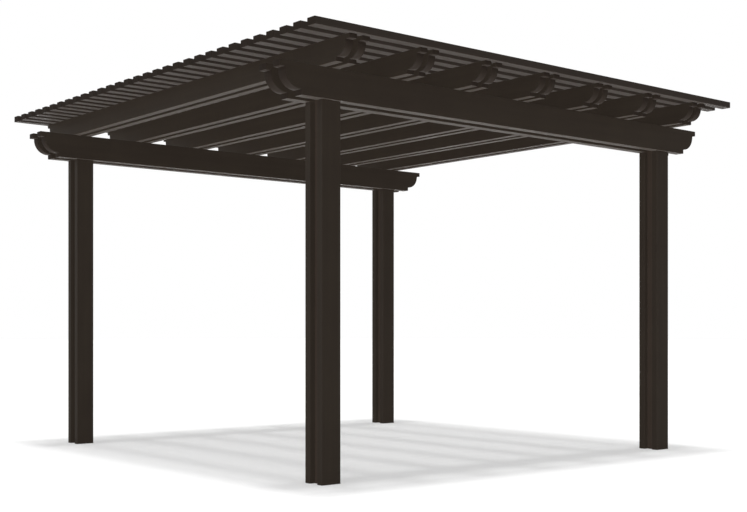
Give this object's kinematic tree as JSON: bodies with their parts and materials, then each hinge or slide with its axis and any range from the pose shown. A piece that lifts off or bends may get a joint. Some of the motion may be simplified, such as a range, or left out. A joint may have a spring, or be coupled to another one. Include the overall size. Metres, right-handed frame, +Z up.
{
  "type": "lattice pergola",
  "caption": "Open free-standing pergola: paired side-plate posts, doubled scallop-ended headers and rafters, and a roof of evenly spaced rectangular-tube slats.",
  "frame": {"origin": "middle of the ground plan, on the level the posts stand on", "axes": "+X along the headers and slats, +Y along the rafters towards the back header, +Z up"},
  "size_m": [4.336, 4.468, 2.896],
  "materials": {
    "beam_coat": "satin dark bronze baked coat on roll-formed aluminium",
    "slat_coat": "satin dark bronze baked coat on aluminium tube",
    "core_paint": "satin dark bronze coat on square steel tube",
    "cap_plastic": "satin dark bronze moulded end cap"
  },
  "bodies": {
    "root": {"post_core_front_left": "core_paint", "post_core_front_right": "core_paint", "post_core_back_left": "core_paint", "post_core_back_right": "core_paint", "post_plate_front_left_outer": "beam_coat", "post_plate_front_left_inner": "beam_coat", "post_plate_front_right_outer": "beam_coat", "post_plate_front_right_inner": "beam_coat", "post_plate_back_left_outer": "beam_coat", "post_plate_back_left_inner": "beam_coat", "post_plate_back_right_outer": "beam_coat", "post_plate_back_right_inner": "beam_coat", "header_front_outer": "beam_coat", "header_front_inner": "beam_coat", "header_back_outer": "beam_coat", "header_back_inner": "beam_coat", "rafters_1": "beam_coat", "rafters_2": "beam_coat", "rafters_3": "beam_coat", "rafters_4": "beam_coat", "rafters_5": "beam_coat", "rafters_6": "beam_coat", "rafters_7": "beam_coat", "slats_1": "slat_coat", "slats_2": "slat_coat", "slats_3": "slat_coat", "slats_4": "slat_coat", "slats_5": "slat_coat", "slats_6": "slat_coat", "slats_7": "slat_coat", "slats_8": "slat_coat", "header_end_caps": "cap_plastic", "rafter_end_caps_front": "cap_plastic", "rafter_end_caps_back": "cap_plastic", "slat_end_caps_left": "cap_plastic", "slat_end_caps_right": "cap_plastic"}
  },
  "joints": []
}
